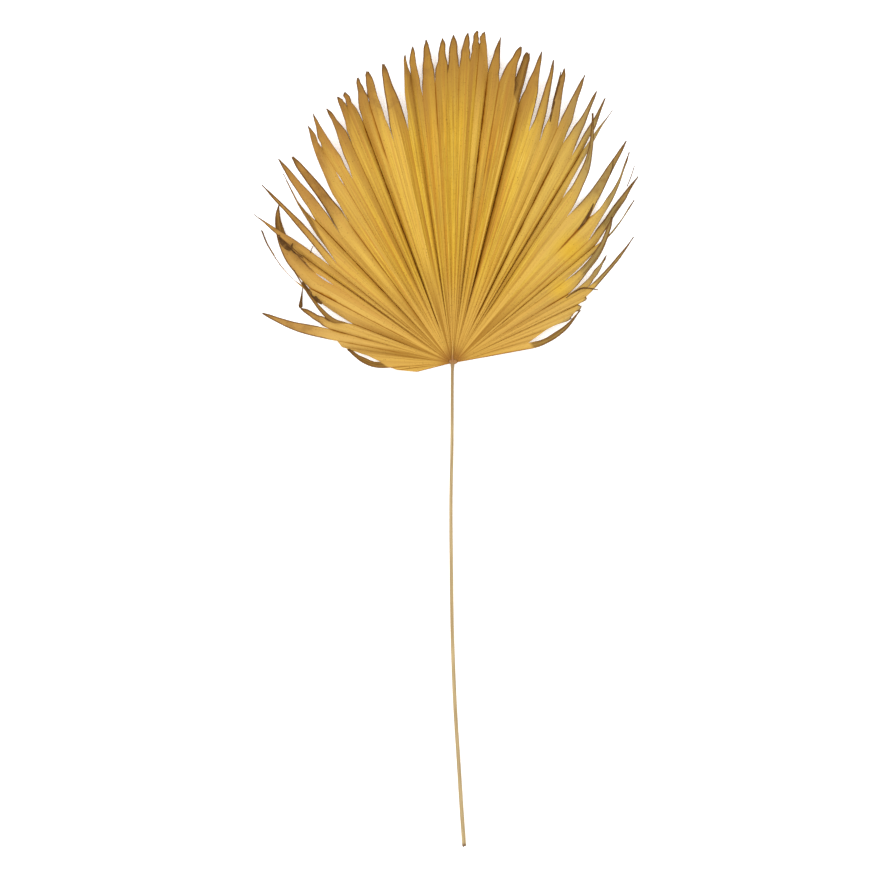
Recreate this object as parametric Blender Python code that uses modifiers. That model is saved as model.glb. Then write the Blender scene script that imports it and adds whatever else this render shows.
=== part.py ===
"""A dried fan palm leaf: a pleated fan blade on a thin stalk, lying flat.

Metres, +Z up. The blade points along +Y and the stalk along -Y. The origin is
under the middle of the leaf, on the surface that it lies on.
"""

import math

import bmesh
import bpy
from mathutils import Matrix, Quaternion, Vector

MM = 0.001

# Middle of the hub, where all pleats run together
HUB_X = 7.5 * MM
HUB_Y = 95.1 * MM

# Half axes of the oval that the pleats start from, and the gap to the stalk's head
HUB_WIDE = 9.8 * MM
HUB_LONG = 5.0 * MM
HUB_SPREAD = 1.3
SEAT_GAP = 0.3 * MM

# Height of the blade's underside at the hub and where the fan has opened out
HUB_HEIGHT = 1.9 * MM
FAN_HEIGHT = 10.5 * MM
FAN_OPENS_AT = 130 * MM

BLADE_THICKNESS = 0.9 * MM
LOWEST_FOLD = 0.7 * MM
MERGE_DISTANCE = 0.01 * MM
PLEAT_HEIGHT = 0.8 * MM
PLEAT_STARTS_AT = 18 * MM
PLEAT_FULL_AT = 115 * MM
SHEET_ROWS = (0.0, 0.1, 0.25, 0.45, 0.65, 0.84, 1.0)
TIP_ROWS = (0.0, 0.22, 0.42, 0.62, 0.82, 1.0)
STUB_ROWS = (0.0, 1.0)
REST_FROM = 0.4
LIFT_POWER = 0.8

# Folds between segments, from the left edge of the fan to the right:
# bearing in degrees, distance from the hub to the split in mm, depth in mm
FOLDS = (
    (196.0, 46, 0),
    (188.7, 69, 0),
    (185.6, 77, 1),
    (180.1, 89, 0),
    (176.2, 104, 0),
    (172.6, 137, 1),
    (169.9, 144, 0),
    (165.2, 157, 3),
    (162.0, 152, 0),
    (159.4, 131, 5),
    (153.0, 196, 0),
    (147.3, 200, 0),
    (145.0, 218, 5),
    (142.1, 192, 2),
    (139.9, 186, 0),
    (134.2, 241, 5),
    (131.6, 207, 0),
    (126.8, 211, 3),
    (121.6, 305, 2),
    (118.8, 255, 1),
    (115.0, 291, 3),
    (112.6, 337, 0),
    (110.6, 311, 7),
    (107.9, 330, 1),
    (105.1, 278, 0),
    (100.9, 288, 0),
    (98.4, 352, 4),
    (96.5, 327, 0),
    (93.7, 341, 1),
    (91.1, 351, 1),
    (88.8, 357, 0),
    (86.7, 367, 0),
    (85.2, 387, 1),
    (83.1, 352, 6),
    (80.6, 347, 2),
    (77.1, 333, 0),
    (75.7, 322, 7),
    (71.8, 296, 0),
    (68.5, 289, 1),
    (65.9, 314, 1),
    (63.3, 299, 5),
    (60.0, 291, 1),
    (58.4, 297, 4),
    (56.2, 241, 3),
    (51.8, 225, 0),
    (46.6, 244, 1),
    (41.6, 222, 1),
    (39.1, 224, 3),
    (35.7, 168, 0),
    (30.2, 162, 2),
    (28.4, 184, 0),
    (25.9, 181, 0),
    (24.5, 168, 2),
    (21.8, 160, 0),
    (18.9, 122, 2),
    (14.0, 95, 0),
    (9.3, 98, 0),
)

# Segments between those folds: bearing of the tip in degrees and its distance in mm,
# where the bend of the free part lies (degrees to the side, share of its length),
# lift of the tip in mm, twist in degrees, share of the width left at the end,
# and how late the segment narrows.
# None is a segment that ends where its folds end.
TIPS = (
    None,
    None,
    (173.3, 128, 1.0, 0.5, 14, 0, 0.55, 3.0),
    None,
    None,
    None,
    (165.8, 241, 0.8, 0.5, 5, 0, 0.35, 1.8),
    (160.6, 197, -1.4, 0.5, -5, 0, 0.4, 1.8),
    (150.2, 224, 2.0, 0.27, 17, 0, 0.3, 2.2),
    (145.6, 284, -0.9, 0.56, -8, 0, 0.25, 0.7),
    (138.0, 287, -3.2, 0.66, -8, 0, 0.18, 2.0),
    (144.7, 248, -0.6, 0.5, 8, 0, 0.2, 0.8),
    (143.6, 302, -0.4, 0.5, 14, 0, 0.12, 1.5),
    (137.3, 318, -3.3, 0.5, 6, 0, 0.15, 3.0),
    (132.1, 310, -1.2, 0.5, -6, 0, 0.06, 0.6),
    (130.8, 327, -2.0, 0.5, 5, 0, 0.25, 1.8),
    (128.1, 319, -1.6, 0.5, -10, 0, 0.5, 2.0),
    (121.6, 339, -0.3, 0.5, 4, 0, 0.2, 1.6),
    (119.5, 348, -0.4, 0.5, 8, 0, 0.15, 1.2),
    (116.5, 346, -0.9, 0.5, 2, 0, 0.25, 2.2),
    (113.6, 353, -0.3, 0.5, 7, 0, 0.4, 2.2),
    (112.0, 355, 0.1, 0.5, -1, 0, 0.45, 2.2),
    (108.6, 366, -0.1, 0.5, 8, 0, 0.35, 1.6),
    (106.4, 370, 0.0, 0.5, 2, 0, 0.4, 1.8),
    (103.2, 374, 0.2, 0.5, 5, 0, 0.3, 1.5),
    (98.9, 380, 0.0, 0.5, 1, 0, 0.15, 1.1),
    (97.3, 388, 0.1, 0.5, 7, 0, 0.35, 1.8),
    (94.8, 395, -0.2, 0.5, 2, 0, 0.25, 2.0),
    (91.9, 395, -0.3, 0.5, 5, 0, 0.3, 1.8),
    (89.9, 399, 0.0, 0.5, 2, 0, 0.3, 2.0),
    (87.4, 402, 0.1, 0.5, 6, 0, 0.3, 1.6),
    (85.9, 406, 0.1, 0.5, 2, 0, 0.4, 1.7),
    (84.6, 405, 0.1, 0.5, 7, 0, 0.35, 1.8),
    (81.6, 401, 0.3, 0.5, 3, 0, 0.12, 1.3),
    (77.8, 394, -0.1, 0.5, 7, 0, 0.3, 1.1),
    (76.3, 389, 0.4, 0.5, -3, -15, 0.85, 3.0),
    (74.0, 394, -0.1, 0.5, 6, 0, 0.15, 1.4),
    (71.6, 389, 0.0, 0.5, 2, 0, 0.25, 0.7),
    (69.2, 383, 0.9, 0.5, 8, 0, 0.25, 0.8),
    (65.3, 386, 0.4, 0.5, 2, 0, 0.15, 2.1),
    (62.0, 374, -0.1, 0.5, 7, 0, 0.2, 0.8),
    (60.0, 372, -0.1, 0.5, 2, 0, 0.3, 1.4),
    (57.6, 363, 0.6, 0.5, 6, 0, 0.15, 1.2),
    (60.7, 347, -0.6, 0.5, 18, 0, 0.08, 1.1),
    (51.9, 344, 0.8, 0.5, -10, 0, 0.15, 0.7),
    (49.9, 334, 1.2, 0.5, 14, 0, 0.12, 0.5),
    (45.0, 321, 3.1, 0.51, -9, 0, 0.2, 2.2),
    (41.7, 296, 0.2, 0.5, 4, 0, 0.08, 0.8),
    (42.2, 262, 1.3, 0.55, 16, 0, 0.5, 1.2),
    (34.6, 228, 1.5, 0.5, 2, 0, 0.3, 0.7),
    (34.6, 268, 3.2, 0.5, 9, 0, 0.15, 1.6),
    (25.2, 181, 0.0, 0.5, 1, 0, 0.7, 1.5),
    (23.2, 170, 0.0, 0.5, 0, 0, 0.7, 1.5),
    (20.2, 154, 0.0, 0.5, 1, 0, 0.6, 1.5),
    None,
    (22.0, 167, -0.5, 0.5, 8, 0, 0.15, 1.8),
)

# The two segments whose free part lies flat on the surface
RESTING = (16, 44)
STUB_LENGTH = 25 * MM

# Middle line of the stalk from the hub to the cut end, x and y from the hub in mm
STALK_LINE = (
    (-0.6, 4),
    (-0.9, -23),
    (-1.2, -97),
    (-2.5, -171),
    (-2.1, -244),
    (-0.9, -330),
    (2.2, -415),
    (6.7, -488),
    (11.0, -555),
    (13.9, -595),
)
STALK_STEPS = 4
STALK_RADIUS_HUB = 2.0 * MM
STALK_RADIUS_END = 2.65 * MM
STALK_FLAT = 0.25 * MM
HEAD_HALF_HEIGHT = 1.7 * MM
HEAD_HEIGHT = 2.0 * MM
HEAD_BELOW = 0.55

# The pale ridge that runs from the stalk a little way up the blade
RIDGE_LINE = ((-0.6, -6, 2.5), (-0.6, 1, 3.9), (-0.6, 7, 4.8), (-0.5, 16, 5.3), (-0.4, 26, 6.1))
RIDGE_RADII = (1.2, 1.3, 1.1, 0.8, 0.35)

BLADE_COLOUR = (0.62, 0.36, 0.06)
STALK_COLOUR = (0.56, 0.42, 0.2)
BLADE_ROUGHNESS = 0.62
STALK_ROUGHNESS = 0.55
SOFT_EDGE_ANGLE = math.radians(50)


def polar(bearing, distance):
    """A point on the ground, by bearing and distance from the hub."""
    angle = math.radians(bearing)
    return Vector((HUB_X + distance * math.cos(angle), HUB_Y + distance * math.sin(angle), 0))


def root(bearing):
    """Where a pleat of this bearing starts, on the oval round the stalk's head."""
    angle = math.radians(90 + (bearing - 90) * HUB_SPREAD)
    return Vector((HUB_X + HUB_WIDE * math.cos(angle), HUB_Y + HUB_LONG * math.sin(angle), 0))


def ease(share):
    """Smooth step from 0 to 1."""
    share = min(max(share, 0.0), 1.0)
    return share * share * (3 - 2 * share)


def sheet_height(distance):
    """Height of the middle of the sheet at this distance from the hub."""
    return HUB_HEIGHT + (FAN_HEIGHT - HUB_HEIGHT) * ease(distance / FAN_OPENS_AT)


def pleat(distance):
    """How far the pleats have opened at this distance from the hub."""
    return ease((distance - PLEAT_STARTS_AT) / (PLEAT_FULL_AT - PLEAT_STARTS_AT))


def hub_distance(point):
    """How far a point lies from the hub, seen from above."""
    return math.hypot(point.x - HUB_X, point.y - HUB_Y)


def fold_point(index, share):
    """A point along a fold, from the hub at 0 to its split at 1."""
    bearing, reach, depth = FOLDS[index]
    point = root(bearing).lerp(polar(bearing, reach * MM), share)
    distance = hub_distance(point)
    sink = (PLEAT_HEIGHT + depth * MM) * pleat(distance)
    point.z = max(sheet_height(distance) - sink, LOWEST_FOLD)
    return point


def rib_point(index, share):
    """A point along the raised rib of a segment, up to where the segment comes free."""
    left, right = FOLDS[index], FOLDS[index + 1]
    start = root((left[0] + right[0]) / 2)
    end = (polar(left[0], left[1] * MM) + polar(right[0], right[1] * MM)) / 2
    point = start.lerp(end, share)
    distance = hub_distance(point)
    point.z = sheet_height(distance) + PLEAT_HEIGHT * pleat(distance)
    return point


def tip_rows(index):
    """Rows of the free part of a segment, each as left edge, rib and right edge."""
    if TIPS[index] is None:
        return []
    bearing, reach, lead, push, lift, twist, blunt, taper = TIPS[index]
    left, rib, right = fold_point(index, 1), rib_point(index, 1), fold_point(index + 1, 1)
    middle = (left + right) / 2
    ground = sheet_height(hub_distance(middle))
    end = polar(bearing, reach * MM)
    length = (end.xy - middle.xy).length
    rows = []
    steps = STUB_ROWS if length < STUB_LENGTH else TIP_ROWS
    start_bearing = math.degrees(math.atan2(middle.y - HUB_Y, middle.x - HUB_X)) % 360
    bend = polar(start_bearing + lead, hub_distance(middle) + length * push)
    half = (right - left) / 2
    half.z = 0
    outward = Vector((bend.x - middle.x, bend.y - middle.y, 0)).normalized()
    slant = outward * half.dot(outward)
    for share in steps[1:]:
        centre = (1 - share) ** 2 * middle + 2 * share * (1 - share) * bend + share ** 2 * end
        along = (1 - share) * (bend - middle) + share * (end - bend)
        along.z = 0
        settle = (1 - share) ** 2
        width = blunt + (1 - blunt) * (1 - share ** taper)
        centre.z = ground + lift * MM * share ** LIFT_POWER
        swing = outward.rotation_difference(along)
        across = swing @ (half - slant) * width
        across += Quaternion().slerp(swing, share) @ slant * (1 - share)
        turn = Matrix.Rotation(math.radians(twist) * ease(share), 3, along.normalized())
        across = turn @ across
        drop_left = (left.z - ground) * settle
        drop_right = (right.z - ground) * settle
        ridge = (rib.z - ground) * (1 - share)
        row = [centre - across, centre.copy(), centre + across]
        row[0].z += drop_left
        row[1].z += ridge
        row[2].z += drop_right
        if index in RESTING:
            lower(row, share)
        rows.append(row)
    return rows


def lower(row, share):
    """Bring a row of a resting segment down to lie flat on the surface."""
    stay = 1 - ease(share / REST_FROM)
    for point in row:
        point.z = FAN_HEIGHT * stay if stay > 0 else 0.0


def segment_rows(index):
    """All rows of one segment, from the hub to the tip."""
    rows = []
    for share in SHEET_ROWS:
        row = [fold_point(index, share), rib_point(index, share), fold_point(index + 1, share)]
        rows.append(row)
    return rows + tip_rows(index)


def add_segment(sheet, rows):
    """Add one segment as a grid of two columns that is shaped row by row."""
    before = set(sheet.verts)
    bmesh.ops.create_grid(sheet, x_segments=2, y_segments=len(rows) - 1, size=1.0)
    new = [vertex for vertex in sheet.verts if vertex not in before]
    for vertex in new:
        column = round(vertex.co.x + 1)
        line = round((vertex.co.y + 1) / 2 * (len(rows) - 1))
        vertex.co = rows[line][column]


def blade_mesh():
    """The whole fan as one open sheet, its segments joined along the folds."""
    sheet = bmesh.new()
    for index in range(len(TIPS)):
        add_segment(sheet, segment_rows(index))
    bmesh.ops.remove_doubles(sheet, verts=sheet.verts, dist=MERGE_DISTANCE)
    bmesh.ops.recalc_face_normals(sheet, faces=sheet.faces)
    if sum(face.normal.z for face in sheet.faces) < 0:
        bmesh.ops.reverse_faces(sheet, faces=sheet.faces)
    bmesh.ops.triangulate(sheet, faces=sheet.faces)
    mesh = bpy.data.meshes.new("leaf_blade")
    sheet.to_mesh(mesh)
    sheet.free()
    return mesh


def smooth_line(points, steps):
    """Points read from a smooth curve through the given ones."""
    line = []
    for i in range(len(points) - 1):
        before = points[max(i - 1, 0)]
        start, end = points[i], points[i + 1]
        after = points[min(i + 2, len(points) - 1)]
        for step in range(steps):
            t = step / steps
            line.append(tuple(
                0.5 * (2 * b + (c - a) * t + (2 * a - 5 * b + 4 * c - d) * t ** 2
                       + (3 * b - a - 3 * c + d) * t ** 3)
                for a, b, c, d in zip(before, start, end, after)))
    return line + [points[-1]]


def tube(name, points, radii):
    """A closed tube along the points, as a mesh object."""
    curve = bpy.data.curves.new(name, "CURVE")
    curve.dimensions = "3D"
    curve.bevel_depth = 1.0
    curve.bevel_resolution = 2
    curve.use_fill_caps = True
    spline = curve.splines.new("POLY")
    spline.points.add(len(points) - 1)
    for control, point, radius in zip(spline.points, points, radii):
        control.co = (*point, 1)
        control.radius = radius
    source = bpy.data.objects.new(name + "_curve", curve)
    bpy.context.scene.collection.objects.link(source)
    graph = bpy.context.evaluated_depsgraph_get()
    mesh = bpy.data.meshes.new_from_object(source.evaluated_get(graph))
    bpy.data.objects.remove(source)
    shell = bmesh.new()
    shell.from_mesh(mesh)
    bmesh.ops.remove_doubles(shell, verts=shell.verts, dist=MERGE_DISTANCE)
    bmesh.ops.recalc_face_normals(shell, faces=shell.faces)
    shell.to_mesh(mesh)
    shell.free()
    return bpy.data.objects.new(name, mesh)


def stalk_body():
    """The bare stalk, resting on the surface along its length."""
    points = smooth_line(STALK_LINE, STALK_STEPS)
    length = -STALK_LINE[-1][1]
    places, radii = [], []
    for x, y in points:
        share = min(max(-y / length, 0.0), 1.0)
        radius = STALK_RADIUS_HUB + (STALK_RADIUS_END - STALK_RADIUS_HUB) * share
        places.append((HUB_X + x * MM, HUB_Y + y * MM, radius - STALK_FLAT))
        radii.append(radius)
    body = tube("leaf_stalk", places, radii)
    for vertex in body.data.vertices:
        vertex.co.z = max(vertex.co.z, 0.0)
    return body


def stalk_head():
    """The flattened head of the stalk, which the pleats start from."""
    shell = bmesh.new()
    bmesh.ops.create_uvsphere(shell, u_segments=24, v_segments=8, radius=1.0)
    for vertex in shell.verts:
        long_half = HUB_LONG - SEAT_GAP
        if vertex.co.y < 0:
            long_half *= HEAD_BELOW
        vertex.co.x = HUB_X + vertex.co.x * (HUB_WIDE - SEAT_GAP)
        vertex.co.y = HUB_Y + vertex.co.y * long_half
        vertex.co.z = HEAD_HEIGHT + vertex.co.z * HEAD_HALF_HEIGHT
    mesh = bpy.data.meshes.new("stalk_head")
    shell.to_mesh(mesh)
    shell.free()
    return bpy.data.objects.new("stalk_head", mesh)


def stalk_ridge():
    """The slim ridge over the first stretch of the blade."""
    places = [(HUB_X + x * MM, HUB_Y + y * MM, z * MM) for x, y, z in RIDGE_LINE]
    return tube("stalk_ridge", places, [radius * MM for radius in RIDGE_RADII])


def material(name, colour, roughness):
    """A plain finish with the part's own colour."""
    finish = bpy.data.materials.new(name)
    finish.use_nodes = True
    shader = finish.node_tree.nodes["Principled BSDF"]
    shader.inputs["Base Color"].default_value = (*colour, 1)
    shader.inputs["Roughness"].default_value = roughness
    shader.inputs["Metallic"].default_value = 0.0
    return finish


def build_blade(parts, parent):
    """The pleated fan with its free tips."""
    blade = bpy.data.objects.new("leaf_blade", blade_mesh())
    parts.objects.link(blade)
    blade.parent = parent
    thickness = blade.modifiers.new("thickness", "SOLIDIFY")
    thickness.thickness = BLADE_THICKNESS
    thickness.offset = 1.0
    blade.data.materials.append(material("dry_blade", BLADE_COLOUR, BLADE_ROUGHNESS))


def build_stalk(parts, tools, parent):
    """The stalk, with its head and its ridge joined on."""
    stalk = stalk_body()
    parts.objects.link(stalk)
    stalk.parent = parent
    for extra in (stalk_head(), stalk_ridge()):
        tools.objects.link(extra)
        extra.hide_render = True
        extra.display_type = "WIRE"
        join = stalk.modifiers.new(extra.name, "BOOLEAN")
        join.operation = "UNION"
        join.object = extra
    stalk.data.shade_smooth()
    stalk.data.set_sharp_from_angle(angle=SOFT_EDGE_ANGLE)
    stalk.data.materials.append(material("dry_stalk", STALK_COLOUR, STALK_ROUGHNESS))


def main():
    for old in list(bpy.data.objects):
        bpy.data.objects.remove(old, do_unlink=True)
    parts = bpy.data.collections.new("fan_palm_leaf")
    tools = bpy.data.collections.new("joining_shapes")
    bpy.context.scene.collection.children.link(parts)
    bpy.context.scene.collection.children.link(tools)
    leaf = bpy.data.objects.new("fan_palm_leaf_origin", None)
    parts.objects.link(leaf)
    build_blade(parts, leaf)
    build_stalk(parts, tools, leaf)


main()
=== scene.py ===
"""A dried fan palm leaf lying on a pale floor, over its frame of plain solids.

Metres, +Z up. The blade points along +Y and the stalk along -Y. Every piece
keeps the frame's axes and its origin, under the middle of the leaf.
"""

import math

import bmesh
import bpy
from bpy.props import FloatProperty, FloatVectorProperty, IntProperty, PointerProperty
from mathutils import Matrix, Quaternion, Vector, noise
from mathutils.bvhtree import BVHTree


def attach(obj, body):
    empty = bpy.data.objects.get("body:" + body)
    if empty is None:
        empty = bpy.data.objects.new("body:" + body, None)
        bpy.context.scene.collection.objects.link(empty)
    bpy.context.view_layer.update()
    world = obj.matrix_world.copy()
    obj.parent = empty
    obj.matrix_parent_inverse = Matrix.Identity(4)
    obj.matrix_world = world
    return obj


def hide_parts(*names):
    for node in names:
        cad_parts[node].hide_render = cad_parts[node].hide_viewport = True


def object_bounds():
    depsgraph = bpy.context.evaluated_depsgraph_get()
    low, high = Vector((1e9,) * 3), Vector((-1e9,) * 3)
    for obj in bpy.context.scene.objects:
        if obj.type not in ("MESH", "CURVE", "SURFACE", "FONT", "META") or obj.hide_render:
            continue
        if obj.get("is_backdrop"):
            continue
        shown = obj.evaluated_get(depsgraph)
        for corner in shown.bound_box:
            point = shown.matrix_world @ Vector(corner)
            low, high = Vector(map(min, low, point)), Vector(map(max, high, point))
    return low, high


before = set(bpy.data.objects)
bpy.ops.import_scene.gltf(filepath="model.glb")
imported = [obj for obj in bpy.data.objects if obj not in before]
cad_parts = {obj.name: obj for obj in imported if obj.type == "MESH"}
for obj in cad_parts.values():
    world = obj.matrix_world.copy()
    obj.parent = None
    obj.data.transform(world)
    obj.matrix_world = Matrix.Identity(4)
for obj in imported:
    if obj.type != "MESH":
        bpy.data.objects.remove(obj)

bl_info = {
    "name": "Dried Fan Palm Leaf",
    "version": (1, 0, 0),
    "blender": (4, 5, 0),
    "location": "3D View > Sidebar > Palm Leaf",
    "description": "Builds a dried fan palm leaf and a soft studio around it",
    "category": "Add Mesh",
}

MM = 0.001

# Middle of the hub, where all pleats run together
HUB_X = 7.5 * MM
HUB_Y = 95.1 * MM

# Half axes of the oval that the pleats start from
HUB_WIDE = 5.6 * MM
HUB_LONG = 3.2 * MM
HUB_SPREAD = 1.3
HUB_HEIGHT = 4.2 * MM
HUB_FALLS_BY = 20 * MM

# Height of the blade's underside where the fan has opened out
LOW_HEIGHT = 2.3 * MM
FAN_HEIGHT = 10.9 * MM
FAN_OPENS_AT = 130 * MM

PLEAT_HEIGHT = 0.6 * MM
PLEAT_STARTS_AT = 18 * MM
PLEAT_FULL_AT = 115 * MM

# Share of each fold's own depth that the sheet keeps, and how much painted light
# brightens the segments that lie flat on the surface, against the shade they lie in
FOLD_SHARE = 0.85
RESTING_PAINTED_LIGHT = 0.25

REST_FROM = 0.4
REST_HEIGHT = 0.12 * MM
LIFT_POWER = 0.8
POINT_FROM = 0.9
STUB_LENGTH = 25 * MM
STUB_STEPS = 4

# Places across a segment, from the left fold over the rib to the right fold
COLUMNS = (-1.0, -0.93, -0.78, -0.55, -0.28, 0.0, 0.28, 0.55, 0.78, 0.93, 1.0)


# Folds between segments, from the left edge of the fan to the right:
# bearing in degrees, distance from the hub to the split in mm, depth in mm
FOLDS = (
    (196.0, 46, 0),
    (188.7, 69, 0),
    (185.6, 77, 1),
    (180.1, 89, 0),
    (176.2, 104, 0),
    (172.6, 137, 1),
    (169.9, 144, 0),
    (165.2, 157, 3),
    (162.0, 152, 0),
    (159.4, 131, 5),
    (153.0, 196, 0),
    (147.3, 200, 0),
    (145.0, 218, 5),
    (142.1, 192, 2),
    (139.9, 186, 0),
    (134.2, 241, 5),
    (131.6, 207, 0),
    (126.8, 211, 3),
    (121.6, 305, 2),
    (118.8, 255, 1),
    (115.0, 291, 3),
    (112.6, 337, 0),
    (110.6, 311, 7),
    (107.9, 330, 1),
    (105.1, 278, 0),
    (100.9, 288, 0),
    (98.4, 352, 4),
    (96.5, 327, 0),
    (93.7, 341, 1),
    (91.1, 351, 1),
    (88.8, 357, 0),
    (86.7, 367, 0),
    (85.2, 387, 1),
    (83.1, 352, 6),
    (80.6, 347, 2),
    (77.1, 333, 0),
    (75.7, 322, 7),
    (71.8, 296, 0),
    (68.5, 289, 1),
    (65.9, 314, 1),
    (63.3, 299, 5),
    (60.0, 291, 1),
    (58.4, 297, 4),
    (56.2, 241, 3),
    (51.8, 225, 0),
    (46.6, 244, 1),
    (41.6, 222, 1),
    (39.1, 224, 3),
    (35.7, 168, 0),
    (30.2, 162, 2),
    (28.4, 184, 0),
    (25.9, 181, 0),
    (24.5, 168, 2),
    (21.8, 160, 0),
    (18.9, 122, 2),
    (14.0, 95, 0),
    (9.3, 98, 0),
)

# Segments between those folds: bearing of the tip in degrees and its distance in mm,
# where the bend of the free part lies (degrees to the side, share of its length),
# lift of the tip in mm, twist in degrees, share of the width left at the end,
# and how late the segment narrows.
# None is a segment that ends where its folds end.
TIPS = (
    None,
    None,
    (173.3, 128, 1.0, 0.5, 14, 0, 0.55, 3.0),
    None,
    None,
    None,
    (165.8, 241, 0.8, 0.5, 5, 0, 0.35, 1.8),
    (160.6, 197, -1.4, 0.5, -5, 0, 0.4, 1.8),
    (150.2, 224, 2.0, 0.27, 17, 0, 0.3, 2.2),
    (145.6, 284, -0.9, 0.56, -8, 0, 0.25, 0.7),
    (138.0, 287, -3.2, 0.66, -8, 0, 0.18, 2.0),
    (144.7, 248, -0.6, 0.5, 8, 0, 0.2, 0.8),
    (143.6, 302, -0.4, 0.5, 14, 0, 0.12, 1.5),
    (137.3, 318, -3.3, 0.5, 6, 0, 0.15, 3.0),
    (132.1, 310, -1.2, 0.5, -6, 0, 0.06, 0.6),
    (130.8, 327, -2.0, 0.5, 5, 0, 0.25, 1.8),
    (128.1, 319, -1.6, 0.5, -10, 0, 0.5, 2.0),
    (121.6, 339, -0.3, 0.5, 4, 0, 0.2, 1.6),
    (119.5, 348, -0.4, 0.5, 8, 0, 0.15, 1.2),
    (116.5, 346, -0.9, 0.5, 2, 0, 0.25, 2.2),
    (113.6, 353, -0.3, 0.5, 7, 0, 0.4, 2.2),
    (112.0, 355, 0.1, 0.5, -1, 0, 0.45, 2.2),
    (108.6, 366, -0.1, 0.5, 8, 0, 0.35, 1.6),
    (106.4, 370, 0.0, 0.5, 2, 0, 0.4, 1.8),
    (103.2, 374, 0.2, 0.5, 5, 0, 0.3, 1.5),
    (98.9, 380, 0.0, 0.5, 1, 0, 0.15, 1.1),
    (97.3, 388, 0.1, 0.5, 7, 0, 0.35, 1.8),
    (94.8, 395, -0.2, 0.5, 2, 0, 0.25, 2.0),
    (91.9, 395, -0.3, 0.5, 5, 0, 0.3, 1.8),
    (89.9, 399, 0.0, 0.5, 2, 0, 0.3, 2.0),
    (87.4, 402, 0.1, 0.5, 6, 0, 0.3, 1.6),
    (85.9, 406, 0.1, 0.5, 2, 0, 0.4, 1.7),
    (84.6, 405, 0.1, 0.5, 7, 0, 0.35, 1.8),
    (81.6, 401, 0.3, 0.5, 3, 0, 0.12, 1.3),
    (77.8, 394, -0.1, 0.5, 7, 0, 0.3, 1.1),
    (76.3, 389, 0.4, 0.5, -3, -15, 0.85, 3.0),
    (74.0, 394, -0.1, 0.5, 6, 0, 0.15, 1.4),
    (71.6, 389, 0.0, 0.5, 2, 0, 0.25, 0.7),
    (69.2, 383, 0.9, 0.5, 8, 0, 0.25, 0.8),
    (65.3, 386, 0.4, 0.5, 2, 0, 0.15, 2.1),
    (62.0, 374, -0.1, 0.5, 7, 0, 0.2, 0.8),
    (60.0, 372, -0.1, 0.5, 2, 0, 0.3, 1.4),
    (57.6, 363, 0.6, 0.5, 6, 0, 0.15, 1.2),
    (60.7, 347, -0.6, 0.5, 18, 0, 0.08, 1.1),
    (51.9, 344, 0.8, 0.5, -10, 0, 0.15, 0.7),
    (49.9, 334, 1.2, 0.5, 14, 0, 0.12, 0.5),
    (45.0, 321, 3.1, 0.51, -9, 0, 0.2, 2.2),
    (41.7, 296, 0.2, 0.5, 4, 0, 0.08, 0.8),
    (42.2, 262, 1.3, 0.55, 16, 0, 0.5, 1.2),
    (34.6, 228, 1.5, 0.5, 2, 0, 0.3, 0.7),
    (34.6, 268, 3.2, 0.5, 9, 0, 0.15, 1.6),
    (25.2, 181, 0.0, 0.5, 1, 0, 0.7, 1.5),
    (23.2, 170, 0.0, 0.5, 0, 0, 0.7, 1.5),
    (20.2, 154, 0.0, 0.5, 1, 0, 0.6, 1.5),
    None,
    (22.0, 167, -0.5, 0.5, 8, 0, 0.15, 1.8),
)

# The two segments whose free part lies flat on the surface
RESTING = (16, 44)
PLEAT_ROUND = 1.15
EDGE_KINK = 2.2 * MM
KINK_PLACES = 6
END_FRAY = 3.0 * MM
TIP_WAVE = 0.8 * MM
SHEET_CROWDING = 0.9
TIP_CROWDING = 1.25

# Middle line of the stalk from the hub to the cut end, x and y from the hub in mm
STALK_LINE = (
    (-0.3, 1),
    (-0.6, -6),
    (-0.9, -23),
    (-1.2, -97),
    (-2.5, -171),
    (-2.1, -244),
    (-0.9, -330),
    (2.2, -415),
    (6.7, -488),
    (11.0, -555),
    (13.8, -593.6),
)
STALK_STEPS = 14
STALK_AROUND = 24
STALK_RADIUS_HUB = 1.95 * MM
STALK_RADIUS_END = 2.6 * MM
STALK_FLAT = 0.2 * MM
GROOVES = 6

# The pale ridge that runs from the stalk a little way up the blade: x and y from the
# hub, height, all in mm
RIDGE_LINE = (
    (-0.6, -9, 2.6),
    (-0.6, -4, 3.8),
    (-0.6, 1, 4.3),
    (-0.6, 7, 4.9),
    (-0.5, 16, 5.1),
    (-0.4, 26, 5.9),
)
RIDGE_RADII = (1.2, 1.5, 1.2, 0.9, 0.7, 0.3)
STALK_FLARE = 0.35
STALK_FLARE_LENGTH = 12

# The flat swelling where stalk and pleats meet
CAP_WIDE = 6.0 * MM
CAP_LONG = 3.6 * MM
CAP_FORWARD = 0.2 * MM
CAP_HEIGHT = 2.7 * MM
CAP_SQUASH = 0.45
CAP_STEPS = 16

# The longer left sliver of the split cut end
SPUR_LINE = ((12.5, -585, 2.4), (12.9, -590, 2.3), (12.8, -593.6, 2.1), (12.5, -595.0, 1.8))
SPUR_RADII = (1.3, 1.5, 1.4, 0.5)

# Where the camera looks, and the height of the plane that it frames
VIEW_X = -2.3 * MM
VIEW_Y = -7.1 * MM
VIEW_LEVEL = 10 * MM

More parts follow.
